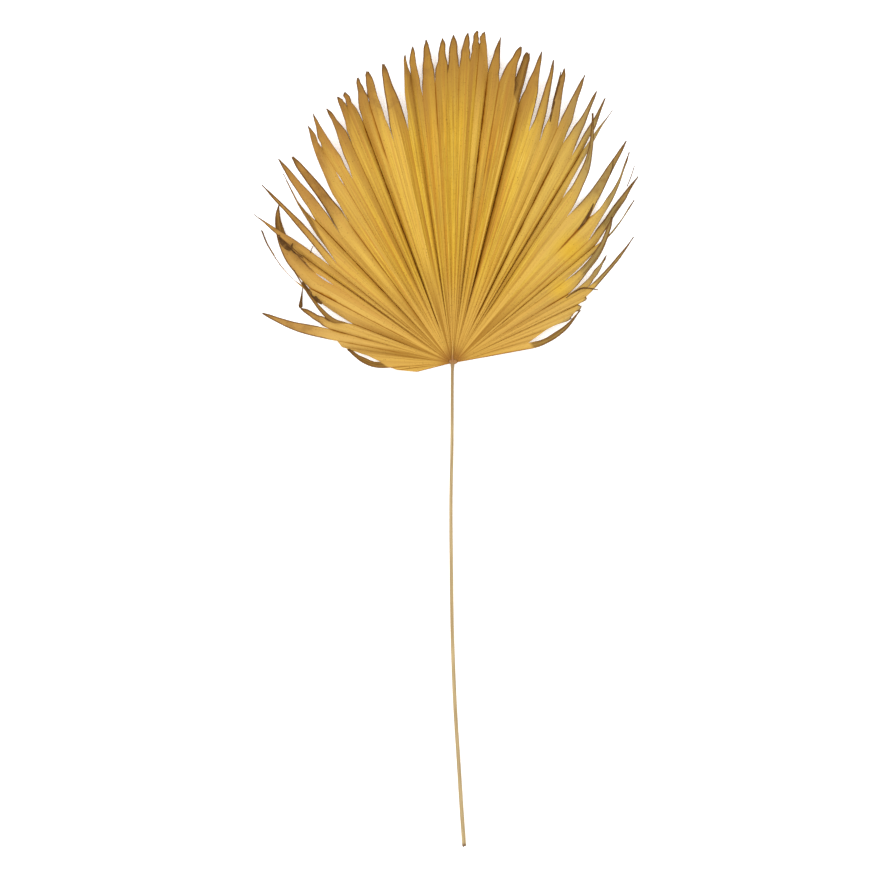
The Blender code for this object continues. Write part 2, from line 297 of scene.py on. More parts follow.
# Colours of the dry leaf, linear
ORANGE = (0.46, 0.20, 0.022)
# Paler and deeper strips, which also carry painted light and shade on the pleat halves and painted light on
# the resting segments
PALE_STRIP_AND_PAINTED_LIGHT = (0.60, 0.38, 0.075)
DEEP_STRIP_AND_PAINTED_SHADE = (0.30, 0.145, 0.014)
OLIVE = (0.42, 0.27, 0.045)
RIGHT_SIDE = (0.49, 0.325, 0.088)
LEFT_SIDE = (0.47, 0.26, 0.07)
YELLOW = (0.57, 0.34, 0.012)
TIP = (0.30, 0.150, 0.030)
RED_TIP = (0.26, 0.108, 0.028)
HUB = (0.31, 0.125, 0.025)
RIDGE = (0.50, 0.29, 0.05)
SPECK = (0.12, 0.05, 0.01)
# Brown of the undersides, also used as painted shade where a neighbour lies over a free part, and for the
# dark shreds
DARK_UNDERSIDE_AND_SHADE = (0.085, 0.036, 0.006)
PALER_UNDERSIDE_AND_SHADE = (0.22, 0.11, 0.022)
GREY_UNDERSIDE_AND_SHADE = (0.29, 0.20, 0.065)
EDGE = (0.13, 0.055, 0.012)
GREY_TIP = (0.29, 0.205, 0.080)
WORN_TIP = (0.13, 0.062, 0.018)
BLOTCH = (0.24, 0.12, 0.028)
VEIN = (0.17, 0.07, 0.010)
# Painted shade along the folds: the dark line and the softer painted shade beside it
CREASE_PAINTED_SHADE = (0.165, 0.052, 0.002)
CREASE_SOFT_PAINTED_SHADE = (0.33, 0.140, 0.010)
PALE_LOW = (0.56, 0.355, 0.105)
HUB_DARK = (0.25, 0.105, 0.008)
WARM = (0.53, 0.29, 0.045)
STALK_SHADE = (0.25, 0.165, 0.065)
STALK_WARM = (0.38, 0.25, 0.10)
STALK_UPPER = (0.25, 0.15, 0.05)
CUT = (0.11, 0.045, 0.015)
YELLOW_PATCHES = (
    ((0.151, 0.232, 0.010), 0.030),
    ((0.139, 0.183, 0.010), 0.022),
)

# Painted shade along the creases: number of the fold, where it starts and ends in mm from
# the hub, darkness, width of the painted shade in mm on the left and on the right
PAINTED_CREASE_SHADES = (
    (0, 0, 46, 1.0, 0.8, 1.1),
    (1, 35, 69, 0.8, 0.8, 0.9),
    (2, 30, 80, 0.5, 0.8, 0.8),
    (4, 40, 97, 0.5, 0.8, 0.8),
    (6, 60, 144, 0.5, 0.8, 1.0),
    (7, 105, 157, 0.8, 1.6, 0.8),
    (9, 60, 131, 0.9, 1.0, 2.0),
    (10, 60, 158, 0.55, 1.2, 0.8),
    (10, 158, 200, 1.0, 1.0, 2.0),
    (12, 90, 218, 0.9, 1.6, 1.0),
    (13, 60, 192, 0.6, 0.8, 0.8),
    (15, 110, 243, 1.0, 2.0, 2.2),
    (17, 60, 211, 0.65, 1.2, 0.8),
    (18, 180, 305, 0.6, 1.0, 1.0),
    (20, 110, 300, 0.75, 0.8, 1.4),
    (22, 45, 312, 1.0, 3.0, 0.9),
    (23, 260, 335, 0.7, 2.2, 0.8),
    (26, 45, 378, 0.95, 0.7, 0.7),
    (28, 285, 345, 0.8, 0.7, 0.7),
    (30, 300, 357, 0.45, 0.7, 0.7),
    (32, 330, 392, 0.85, 1.2, 0.9),
    (33, 205, 356, 1.0, 2.0, 1.8),
    (34, 230, 352, 0.5, 0.8, 0.8),
    (36, 90, 324, 1.0, 0.8, 3.2),
    (39, 200, 320, 0.5, 1.0, 0.8),
    (40, 60, 276, 1.0, 1.5, 1.3),
    (42, 115, 302, 0.9, 2.4, 2.4),
    (43, 70, 241, 0.6, 0.8, 1.4),
    (45, 190, 250, 0.85, 1.2, 1.8),
    (46, 120, 230, 0.4, 0.8, 0.8),
    (47, 65, 242, 0.85, 1.0, 1.0),
    (48, 70, 168, 0.4, 0.8, 0.8),
    (49, 125, 173, 0.8, 1.0, 1.4),
    (52, 120, 174, 0.8, 1.4, 0.8),
    (54, 50, 122, 0.6, 0.8, 1.0),
    (56, 10, 98, 0.7, 0.8, 0.8),
)
# Painted shade along all other folds, its width in mm, and the distance in mm over which each crease's
# painted shade fades in and out
FAINT_PAINTED_CREASE_SHADE = 0.14
FAINT_PAINTED_SHADE_WIDTH = 0.6
PAINTED_SHADE_FADE = 25.0

# Segments whose free part shows its brown underside, and painted shade where a
# neighbour lies over it (segment 10 under segment 12): from and to, as shares of
# the free part, and how brown
UNDERSIDES_AND_PAINTED_SHADE = (
    (2, 0.0, 1.0, 0.95),
    (7, 0.8, 1.0, 0.6),
    (8, 0.0, 1.0, 0.8),
    (9, 0.5, 1.0, 0.6),
    (10, 0.56, 0.86, 0.95),
    (11, 0.3, 0.7, 0.5),
    (14, 0.15, 1.0, 0.75),
    (33, 0.6, 1.0, 0.4),
    (35, 0.0, 1.0, 0.6),
    (41, 0.6, 1.0, 0.6),
    (43, 0.5, 1.0, 0.7),
    (45, 0.35, 1.0, 0.6),
    (46, 0.25, 0.6, 0.7),
    (47, 0.3, 1.0, 0.7),
    (48, 0.25, 1.0, 0.85),
    (50, 0.2, 1.0, 0.6),
    (55, 0.0, 1.0, 0.75),
)

# Slits that are open inside the sheet: fold, from and to in mm, half of the gap in mm
SLITS = (
    (11, 176, 199, 1.3),
    (18, 255, 270, 1.0),
)

# How much slimmer some free parts are than the frame's
SLIM = {9: 0.25, 13: 0.1, 16: 0.12, 35: -0.6, 48: 0.3, 49: 0.15}

WAIST = 0.1
LEAST_HALF = 0.7 * MM

# One picture step, and flat dead shreds on and between tips, dark sheets that stand for
# undersides and kinks and are partly painted shade: x and y from the hub in picture
# steps, height in mm where nothing lies below, half width in picture steps
PICTURE_STEP = 1.224 * MM
SHRED_SQUASH = 0.3
SHRED_FALL = 15 * MM
SHRED_LIFT = 0.9 * MM
SHREDS_AND_PAINTED_SHADE = (
    (
        (-152.3, 53.2, 9, 0.6),
        (-152.4, 55.5, 9.5, 2.1),
        (-151.8, 61, 10, 1.5),
        (-151, 68, 11, 0.8),
        (-150.4, 73.6, 12, 0.4),
    ),
    ((-142.4, 108.5, 12, 0.5), (-141.4, 112, 12.5, 0.4), (-139.9, 115.5, 13, 0.35)),
    ((-150.5, 80, 14, 0.8), (-145.5, 71.5, 14.4, 1.9), (-138, 63, 14.2, 2.4), (-131, 57.5, 13, 1.0)),
    ((181.5, 196, 12, 0.4), (178, 185, 12, 0.5), (174, 175, 11, 0.4)),
    ((160, 203, 9, 0.35), (160, 196, 10, 0.4), (157.5, 188, 10, 0.4)),
    ((125, 131.5, 12.5, 0.4), (131, 139.5, 13, 1.3), (137, 149.5, 13, 1.2), (140.5, 158, 13, 0.4)),
    ((113, 63.5, 12, 0.3), (122, 70, 12, 0.8), (131, 73.5, 12, 0.7), (145, 71.5, 12, 0.5)),
    ((97, 239.5, 13, 0.4), (100, 256, 13, 1.2), (104, 272, 13.5, 1.2), (108, 290, 12, 0.5)),
    ((-174, 126, 13, 0.8), (-171, 120, 13, 2.6), (-166, 114.5, 13, 2.8), (-163, 111, 13, 0.8)),
    ((-160, 118, 14, 0.4), (-161.5, 113, 14, 1.0), (-157, 108, 14, 0.8), (-150, 103.5, 14, 0.3)),
)


def polar(bearing, distance):
    """A point on the ground, by bearing and distance from the hub."""
    angle = math.radians(bearing)
    return Vector((HUB_X + distance * math.cos(angle), HUB_Y + distance * math.sin(angle), 0))


def root(bearing):
    """Where a pleat of this bearing starts, on the oval over the stalk's head."""
    angle = math.radians(90 + (bearing - 90) * HUB_SPREAD)
    return Vector((HUB_X + HUB_WIDE * math.cos(angle), HUB_Y + HUB_LONG * math.sin(angle), 0))


def ease(share):
    """Smooth step from 0 to 1."""
    share = min(max(share, 0.0), 1.0)
    return share * share * (3 - 2 * share)


def sheet_height(distance):
    """Height of the middle of the sheet at this distance from the hub."""
    fan = LOW_HEIGHT + (FAN_HEIGHT - LOW_HEIGHT) * ease(distance / FAN_OPENS_AT)
    return fan + (HUB_HEIGHT - LOW_HEIGHT) * (1 - ease(distance / HUB_FALLS_BY))


def pleat(distance):
    """How far the pleats have opened at this distance from the hub."""
    return ease((distance - PLEAT_STARTS_AT) / (PLEAT_FULL_AT - PLEAT_STARTS_AT))


def hub_distance(point):
    return math.hypot(point.x - HUB_X, point.y - HUB_Y)


def fold_point(index, share):
    """A point along a fold, from the hub at 0 to its split at 1."""
    bearing, reach, depth = FOLDS[index]
    point = root(bearing).lerp(polar(bearing, reach * MM), share)
    distance = hub_distance(point)
    sink = (PLEAT_HEIGHT + FOLD_SHARE * depth * MM) * pleat(distance)
    point.z = max(sheet_height(distance) - sink, 1.0 * MM)
    return point


def rib_point(index, share):
    """A point along the raised rib of a segment, up to where the segment comes free."""
    left, right = FOLDS[index], FOLDS[index + 1]
    start = root((left[0] + right[0]) / 2)
    end = (polar(left[0], left[1] * MM) + polar(right[0], right[1] * MM)) / 2
    point = start.lerp(end, share)
    distance = hub_distance(point)
    point.z = sheet_height(distance) + PLEAT_HEIGHT * pleat(distance)
    return point


def tip_row(index, share):
    """Left edge, rib and right edge of the free part of a segment, at this share of it."""
    bearing, reach, lead, push, lift, twist, blunt, taper = TIPS[index]
    left, rib, right = fold_point(index, 1), rib_point(index, 1), fold_point(index + 1, 1)
    middle = (left + right) / 2
    ground = sheet_height(hub_distance(middle))
    end = polar(bearing, reach * MM)
    length = (end.xy - middle.xy).length
    start_bearing = math.degrees(math.atan2(middle.y - HUB_Y, middle.x - HUB_X)) % 360
    bend = polar(start_bearing + lead, hub_distance(middle) + length * push)
    half = (right - left) / 2
    half.z = 0
    outward = Vector((bend.x - middle.x, bend.y - middle.y, 0)).normalized()
    slant = outward * half.dot(outward)
    centre = (1 - share) ** 2 * middle + 2 * share * (1 - share) * bend + share ** 2 * end
    along = (1 - share) * (bend - middle) + share * (end - bend)
    along.z = 0
    settle = (1 - share) ** 2
    width = blunt + (1 - blunt) * (1 - share ** taper)
    width *= 1 - SLIM.get(index, 0.0) * ease(share / 0.5)
    width *= 1 - WAIST * ease((share - 0.35) / 0.4)
    width *= 1 - 0.55 * max(share - POINT_FROM, 0.0) / (1 - POINT_FROM)
    centre.z = ground + lift * MM * share ** LIFT_POWER
    swing = outward.rotation_difference(along)
    across = swing @ (half - slant) * width
    across += Quaternion().slerp(swing, share) @ slant * (1 - share)
    turn = Matrix.Rotation(math.radians(twist) * ease(share), 3, along.normalized())
    across = turn @ across
    row = [centre - across, centre.copy(), centre + across]
    row[0].z += (left.z - ground) * settle
    row[1].z += (rib.z - ground) * (1 - share)
    row[2].z += (right.z - ground) * settle
    if index in RESTING:
        stay = 1 - ease(share / REST_FROM)
        for point in row:
            point.z = REST_HEIGHT + FAN_HEIGHT * stay
    return row


def free_length(index):
    """Length of the free part of a segment, in metres."""
    if TIPS[index] is None:
        return 0.0
    middle = (fold_point(index, 1) + fold_point(index + 1, 1)) / 2
    return (polar(TIPS[index][0], TIPS[index][1] * MM).xy - middle.xy).length


def painted_crease_shade_at(fold, distance):
    """Darkness of the painted shade along a fold at this distance from the hub in metres, and its widths.
    """
    reach = distance / MM
    dark, left, right = FAINT_PAINTED_CREASE_SHADE, FAINT_PAINTED_SHADE_WIDTH, FAINT_PAINTED_SHADE_WIDTH
    for number, start, stop, strength, wide_left, wide_right in PAINTED_CREASE_SHADES:
        if number != fold:
            continue
        inside = ease((reach - start) / PAINTED_SHADE_FADE + 0.5) * ease((stop - reach) / PAINTED_SHADE_FADE + 0.5)
        dark += (strength - dark) * inside
        left += (wide_left - left) * inside
        right += (wide_right - right) * inside
    return dark, left, right


def underside_and_painted_shade_at(index, share):
    """How much of the brown underside, and of the painted shade under a neighbour, a free part shows at
    this share of its length.
    """
    for number, start, stop, strength in UNDERSIDES_AND_PAINTED_SHADE:
        if number == index:
            return strength * ease((share - start) / 0.08 + 0.5) * ease((stop - share) / 0.1 + 0.5)
    return 0.0


def kink(index, side, free, half):
    """Sideways offset of a free edge, with an angle at each of a few places."""
    run = free * KINK_PLACES
    knot = math.floor(run)
    values = [noise.noise(Vector((index * 5.3, side * 7.7, place * 3.1))) for place in (knot, knot + 1)]
    offset = values[0] + (values[1] - values[0]) * (run - knot)
    return offset * min(EDGE_KINK, half * 0.6) * ease(free * 4)


def spread_row(index, row, share, free):
    """Points across a segment from its left edge, rib and right edge."""
    left, rib, right = row
    ahead = Vector((rib.x - HUB_X, rib.y - HUB_Y, 0)).normalized()
    points = []
    for across in COLUMNS:
        side = left if across < 0 else right
        point = rib.lerp(side, abs(across))
        point.z = rib.z + (side.z - rib.z) * abs(across) ** PLEAT_ROUND
        if free > 0:
            half = (side.xy - rib.xy).length
            spare = (side - rib) * max(LEAST_HALF / max(half, 0.1 * MM) - 1, 0)
            aside = Vector((ahead.y, -ahead.x, 0))
            point += (aside * kink(index, math.copysign(1, across), free, half) + spare) * abs(across)
            fray = noise.noise(Vector((index * 3.3, across * 4.0, 1.0)))
            point += ahead * fray * END_FRAY * ease((free - POINT_FROM) / (1 - POINT_FROM))
            if index not in RESTING:
                lift = noise.noise(Vector((index * 4.3, share * 5.4, across * 1.2)))
                point.z = max(point.z + lift * TIP_WAVE * ease(free * 3), REST_HEIGHT)
        points.append(point)
    return points


def opened(fold, share, side):
    """A point along a fold, moved to one side where a slit is open."""
    point = fold_point(fold, share)
    reach = hub_distance(point) / MM
    for number, start, stop, gap in SLITS:
        if number == fold and start < reach < stop:
            bearing = math.radians(FOLDS[fold][0])
            wide = gap * MM * math.sin(math.pi * (reach - start) / (stop - start))
            point += Vector((math.sin(bearing), -math.cos(bearing), 0)) * wide * side
    return point


def segment_rows(index, sheet_steps, tip_steps):
    """All rows of one segment, each with its points, distance and share of the free part."""
    rows = []
    for step in range(sheet_steps + 1):
        share = (step / sheet_steps) ** SHEET_CROWDING
        left = opened(index, share, 1)
        right = opened(index + 1, share, -1)
        points = spread_row(index, (left, rib_point(index, share), right), share, 0.0)
        rows.append((points, 0.0))
    if TIPS[index] is None:
        return rows
    steps = STUB_STEPS if free_length(index) < STUB_LENGTH else tip_steps
    for step in range(1, steps + 1):
        share = 1 - (1 - step / steps) ** TIP_CROWDING
        rows.append((spread_row(index, tip_row(index, share), share, share), share))
    return rows


def loop_values(index, points, column, free, side, tone_and_painted_light):
    """The values that the leaf's finish reads at one corner of a face."""
    point = points[column]
    across = COLUMNS[column]
    edge = points[0] if side < 0 else points[-1]
    distance = hub_distance(point)
    fold = index if side < 0 else index + 1
    # Darkness and widths of the painted shade along the nearest fold
    dark, wide_left, wide_right = painted_crease_shade_at(fold, distance)
    width = wide_right if side < 0 else wide_left
    gap = (point - edge).length / MM
    fade = 1 - ease(free / 0.12)
    return {
        "ray": (index + (across + 1) / 2, distance * 2.5),
        "fold": (gap / 10, dark * fade),
        "free": (free, underside_and_painted_shade_at(index, free) if free > 0 else 0.0),
        "tone_and_painted_light": (tone_and_painted_light, width / 10),
    }


def add_segment(sheet, layers, index, sheet_steps, tip_steps):
    """Add one segment as a grid that is shaped row by row."""
    rows = segment_rows(index, sheet_steps, tip_steps)
    wide, tall = len(COLUMNS) - 1, len(rows) - 1
    before = set(sheet.verts)
    bmesh.ops.create_grid(sheet, x_segments=wide, y_segments=tall, size=1.0)
    places = {}
    for vertex in sheet.verts:
        if vertex in before:
            continue
        column = round((vertex.co.x + 1) / 2 * wide)
        line = round((vertex.co.y + 1) / 2 * tall)
        places[vertex] = (column, line)
        vertex.co = rows[line][0][column]
    faces = {face for vertex in places for face in vertex.link_faces}
    for face in faces:
        middle = sum(places[vertex][0] for vertex in face.verts) / 4
        side = -1 if middle < wide / 2 else 1
        # Resting segments get painted light against the shade they lie in
        added_painted_light = RESTING_PAINTED_LIGHT if index in RESTING else 0.0
        # The left half of each segment gets painted light and the right half painted shade, as from the
        # lamp on the upper left; the noise is random tone
        tone_and_painted_light = 0.5 + added_painted_light - 0.08 * side + 0.6 * noise.noise(Vector((index * 1.37, side * 2.1, 0.5)))
        for loop in face.loops:
            column, line = places[loop.vert]
            points, free = rows[line]
            values = loop_values(index, points, column, free, side, tone_and_painted_light)
            for name, layer in layers.items():
                loop[layer].uv = values[name]


def blade_mesh(settings):
    """The whole fan as one sheet, its segments joined along the folds."""
    sheet = bmesh.new()
    layers = {name: sheet.loops.layers.uv.new(name) for name in ("ray", "fold", "free", "tone_and_painted_light")}
    for index in range(len(TIPS)):
        add_segment(sheet, layers, index, settings.sheet_steps, settings.tip_steps)
    bmesh.ops.remove_doubles(sheet, verts=sheet.verts, dist=0.00001)
    bmesh.ops.recalc_face_normals(sheet, faces=sheet.faces)
    if sum(face.normal.z for face in sheet.faces) < 0:
        bmesh.ops.reverse_faces(sheet, faces=sheet.faces)
    for face in sheet.faces:
        face.smooth = True
    mesh = bpy.data.meshes.new("leaf_fan")
    sheet.to_mesh(mesh)
    sheet.free()
    return mesh


def hold_inside(mesh, thickness):
    """Keep every point inside the box of the pieces that are shown, less the sheet's thickness."""
    low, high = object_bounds()
    for vertex in mesh.vertices:
        for axis in range(3):
            least = low[axis] + (thickness if axis < 2 else 0.0)
            vertex.co[axis] = min(max(vertex.co[axis], least), high[axis] - thickness)


def smooth_line(points, steps):
    """Points read from a smooth curve through the given ones."""
    line = []
    for i in range(len(points) - 1):
        before = points[max(i - 1, 0)]
        start, end = points[i], points[i + 1]
        after = points[min(i + 2, len(points) - 1)]
        for step in range(steps):
            t = step / steps
            line.append(tuple(
                0.5 * (2 * b + (c - a) * t + (2 * a - 5 * b + 4 * c - d) * t ** 2
                       + (3 * b - a - 3 * c + d) * t ** 3)
                for a, b, c, d in zip(before, start, end, after)))
    return line + [points[-1]]


def add_tube(shell, layer, places, radii, around, groove, flat, squash):
    """Add a closed tube along the places, with shallow grooves along it."""
    count = len(places)
    length = sum((b - a).length for a, b in zip(places, places[1:]))
    made = bmesh.ops.create_grid(shell, x_segments=around, y_segments=count - 1, size=1.0)
    run = 0.0
    travel = [0.0]
    for a, b in zip(places, places[1:]):
        run += (b - a).length
        travel.append(run)
    spots = {}
    for vertex in made["verts"]:
        spots[vertex] = (
            round((vertex.co.x + 1) / 2 * around),
            round((vertex.co.y + 1) / 2 * (count - 1)),
        )
    ends = {0: [], count - 1: []}
    for vertex, (column, line) in spots.items():
        ahead = places[min(line + 1, count - 1)] - places[max(line - 1, 0)]
        side = Vector((ahead.y, -ahead.x, 0)).normalized()
        lift = side.cross(ahead).normalized()
        turn = 2 * math.pi * column / around
        radius = radii[line] * (1 - groove * (0.5 + 0.5 * math.cos(turn * GROOVES)))
        vertex.co = places[line] + (side * math.cos(turn) + lift * math.sin(turn) * squash) * radius
        if flat:
            vertex.co.z = max(vertex.co.z, 0.0)
        if line in ends and column < around:
            ends[line].append((column, vertex))
    for face in {face for vertex in spots for face in vertex.link_faces}:
        face.smooth = True
        for loop in face.loops:
            column, line = spots[loop.vert]
            loop[layer].uv = (column / around, travel[line] / length)
    for line, ring in ends.items():
        ring.sort(key=lambda item: item[0])
        cap = shell.faces.new([vertex for column, vertex in ring])
        for loop in cap.loops:
            loop[layer].uv = (loop.vert.co.x / MM / 10, 2.0 if line else -1.0)
    bmesh.ops.remove_doubles(shell, verts=list(spots), dist=0.00001)


def finished_tubes(name, layer_name, tubes):
    """One mesh from several tubes."""
    shell = bmesh.new()
    layer = shell.loops.layers.uv.new(layer_name)
    for tube in tubes:
        add_tube(shell, layer, *tube)
    bmesh.ops.recalc_face_normals(shell, faces=shell.faces)
    mesh = bpy.data.meshes.new(name)
    shell.to_mesh(mesh)
    shell.free()
    return mesh


class Nodes:
    """Small helper that adds and joins shader nodes of one material."""

    def __init__(self, material):
        material.use_nodes = True
        self.tree = material.node_tree
        self.shader = self.tree.nodes["Principled BSDF"]

    def plug(self, socket, value):
        if isinstance(value, bpy.types.NodeSocket):
            self.tree.links.new(value, socket)
        elif isinstance(value, tuple) and len(value) == 3 and socket.type == "RGBA":
            socket.default_value = (*value, 1.0)
        else:
            socket.default_value = value

    def math(self, operation, *values):
        node = self.tree.nodes.new("ShaderNodeMath")
        node.operation = operation
        for socket, value in zip(node.inputs, values):
            self.plug(socket, value)
        return node.outputs[0]

    def ramp(self, value, low, high, out_low=0.0, out_high=1.0):
        """Smoothly map a value from one range to another."""
        node = self.tree.nodes.new("ShaderNodeMapRange")
        node.interpolation_type = "SMOOTHSTEP"
        names = ("Value", "From Min", "From Max", "To Min", "To Max")
        for name, number in zip(names, (value, low, high, out_low, out_high)):
            self.plug(node.inputs[name], number)
        return node.outputs["Result"]

    def mix(self, factor, first, second):
        node = self.tree.nodes.new("ShaderNodeMix")
        node.data_type = "RGBA"
        self.plug(node.inputs[0], factor)
        self.plug(node.inputs[6], first)
        self.plug(node.inputs[7], second)
        return node.outputs[2]

    def uv(self, name):
        """The two values of one of the mesh's own maps."""
        source = self.tree.nodes.new("ShaderNodeUVMap")
        source.uv_map = name
        parts = self.tree.nodes.new("ShaderNodeSeparateXYZ")
        self.tree.links.new(source.outputs[0], parts.inputs[0])
        return parts.outputs[0], parts.outputs[1]

    def place(self):
        """Position on the object, in metres."""
        source = self.tree.nodes.new("ShaderNodeTexCoord")
        parts = self.tree.nodes.new("ShaderNodeSeparateXYZ")
        self.tree.links.new(source.outputs["Object"], parts.inputs[0])
        return source.outputs["Object"], parts.outputs

    def noise(self, vector, scale, detail=2.0, rough=0.5):
        node = self.tree.nodes.new("ShaderNodeTexNoise")
        self.plug(node.inputs["Vector"], vector)
        node.inputs["Scale"].default_value = scale
        node.inputs["Detail"].default_value = detail
        node.inputs["Roughness"].default_value = rough
        return node.outputs[0]

    def stretched(self, first, first_scale, second, second_scale, seed):
        """A vector for streaks, from two values stretched differently."""
        node = self.tree.nodes.new("ShaderNodeCombineXYZ")
        self.plug(node.inputs[0], self.math("MULTIPLY", first, first_scale))
        self.plug(node.inputs[1], self.math("MULTIPLY", second, second_scale))
        self.plug(node.inputs[2], seed)
        return node.outputs[0]

    def patch(self, centre, radius, place):
        """1 at a spot on the object, falling to 0 at the radius, in metres."""
        node = self.tree.nodes.new("ShaderNodeVectorMath")
        node.operation = "DISTANCE"
        self.plug(node.inputs[0], place)
        node.inputs[1].default_value = centre
        return self.ramp(node.outputs["Value"], radius, 0.0)

    def bump(self, height, distance):
        node = self.tree.nodes.new("ShaderNodeBump")
        self.plug(node.inputs["Height"], height)
        node.inputs["Distance"].default_value = distance
        node.inputs["Strength"].default_value = 1.0
        self.tree.links.new(node.outputs[0], self.shader.inputs["Normal"])


def fibre_colour(nodes, settings, ray, reach, where):
    """Golden fibres with brown lines between them, as colour and two streak patterns."""
    broad = nodes.noise(nodes.stretched(ray, 1.7, reach, 1.6, 1.5), 1.0, 2.0, 0.5)
    bands = nodes.noise(nodes.stretched(ray, 4.1, reach, 1.9, 8.5), 1.0, 2.0, 0.55)
    fibres = nodes.noise(nodes.stretched(ray, settings.fibres, reach, 3.0, 4.5), 1.0, 3.0, 0.6)
    fine = nodes.noise(nodes.stretched(ray, settings.fibres * 3.1, reach, 9.0, 7.5), 1.0, 2.0, 0.6)
    grain = nodes.noise(where, 480.0, 2.0, 0.6)
    colour = nodes.mix(nodes.ramp(fibres, 0.36, 0.60), tuple(settings.shadow), tuple(settings.golden))
    colour = nodes.mix(nodes.ramp(fine, 0.52, 0.70, 0.0, 0.7), colour, tuple(settings.pale))
    colour = nodes.mix(nodes.ramp(fine, 0.46, 0.32, 0.0, 0.55), colour, tuple(settings.shadow))
    colour = nodes.mix(nodes.ramp(bands, 0.50, 0.34, 0.0, 0.7), colour, ORANGE)
    colour = nodes.mix(nodes.ramp(bands, 0.37, 0.24, 0.0, 0.8), colour, VEIN)
    colour = nodes.mix(nodes.ramp(broad, 0.52, 0.75, 0.0, 0.55), colour, ORANGE)
    colour = nodes.mix(nodes.ramp(grain, 0.42, 0.25, 0.0, 0.5), colour, DEEP_STRIP_AND_PAINTED_SHADE)
    return colour, broad, fibres, fine


def region_colour(nodes, colour, tone_and_painted_light, ray, reach, where, axes):
    """Tints of single strips, with painted light and shade on the two halves of each pleat and on the
    resting segments, of the two sides, of yellow patches and of the hub.
    """
    cloud = nodes.noise(where, 9.0, 3.0, 0.5)
    # Paler and deeper strips: random tone, plus painted light and painted shade on the pleat halves and
    # painted light on the resting segments
    colour = nodes.mix(nodes.ramp(tone_and_painted_light, 0.5, 0.9, 0.0, 0.6), colour, PALE_STRIP_AND_PAINTED_LIGHT)
    colour = nodes.mix(nodes.ramp(tone_and_painted_light, 0.5, 0.1, 0.0, 0.6), colour, DEEP_STRIP_AND_PAINTED_SHADE)
    colour = nodes.mix(nodes.ramp(cloud, 0.45, 0.7, 0.0, 0.4), colour, OLIVE)
    colour = nodes.mix(nodes.ramp(axes[0], 0.03, 0.19, 0.0, 0.55), colour, RIGHT_SIDE)
    colour = nodes.mix(nodes.ramp(axes[0], -0.02, -0.2, 0.0, 0.65), colour, LEFT_SIDE)
    for centre, radius in YELLOW_PATCHES:
        amount = nodes.math("MULTIPLY", nodes.patch(centre, radius, where), 0.6)
        colour = nodes.mix(amount, colour, YELLOW)
    colour = nodes.mix(nodes.ramp(axes[1], 0.21, 0.12, 0.0, 0.55), colour, PALE_LOW)
    groups = nodes.noise(nodes.stretched(ray, 0.8, reach, 0.9, 11.5), 1.0, 2.0, 0.6)
    groups = nodes.math("MULTIPLY", nodes.ramp(groups, 0.47, 0.38), nodes.ramp(reach, 0.40, 0.10, 0.0, 0.7))
    colour = nodes.mix(nodes.ramp(reach, 0.42, 0.06, 0.0, 0.55), colour, WARM)
    colour = nodes.mix(groups, colour, HUB_DARK)
    return nodes.mix(nodes.ramp(reach, 0.060, 0.014, 0.0, 0.8), colour, HUB)


def free_colour(nodes, colour, free, underside_and_shade, gap, reach, where, streaks, axes):
    """Browner free parts, with brown undersides and painted shade under neighbours, blotches, edges and
    worn ends.
    """
    broad, fibres = streaks
    outer = nodes.math("ADD", reach, nodes.math("MULTIPLY", broad, 0.3))
    colour = nodes.mix(nodes.ramp(outer, 0.80, 1.08, 0.0, 0.85), colour, TIP)
    grey = nodes.math("MULTIPLY", nodes.ramp(axes[0], 0.10, 0.19), nodes.ramp(free, 0.05, 0.5, 0.0, 0.75))
    colour = nodes.mix(grey, colour, GREY_TIP)
    red = nodes.math("MULTIPLY", nodes.ramp(axes[0], -0.06, -0.15), nodes.ramp(free, 0.0, 0.5, 0.0, 0.5))
    colour = nodes.mix(red, colour, RED_TIP)
    stain = nodes.noise(where, 55.0, 3.0, 0.6)
    stain = nodes.math("ADD", stain, nodes.math("MULTIPLY", free, 0.28))
    stain = nodes.math("MULTIPLY", nodes.ramp(stain, 0.60, 0.78), nodes.ramp(free, 0.0, 0.3, 0.0, 0.5))
    colour = nodes.mix(stain, colour, BLOTCH)
    # Brown undersides, also painted shade where a neighbour lies over the free part
    back = nodes.mix(nodes.ramp(axes[0], 0.08, 0.18), PALER_UNDERSIDE_AND_SHADE, GREY_UNDERSIDE_AND_SHADE)
    back = nodes.mix(nodes.ramp(fibres, 0.56, 0.36), back, DARK_UNDERSIDE_AND_SHADE)
    colour = nodes.mix(underside_and_shade, colour, back)
    ragged = nodes.math("ADD", gap, nodes.math("MULTIPLY", nodes.noise(where, 160.0, 2.0, 0.6), 0.16))
    edge = nodes.math("MULTIPLY", nodes.ramp(free, 0.0, 0.2), nodes.ramp(ragged, 0.32, 0.14, 0.0, 0.95))
    colour = nodes.mix(edge, colour, EDGE)
    worn = nodes.math("ADD", free, nodes.math("MULTIPLY", fibres, 0.12))
    return nodes.mix(nodes.ramp(worn, 0.90, 1.06, 0.0, 0.9), colour, WORN_TIP)


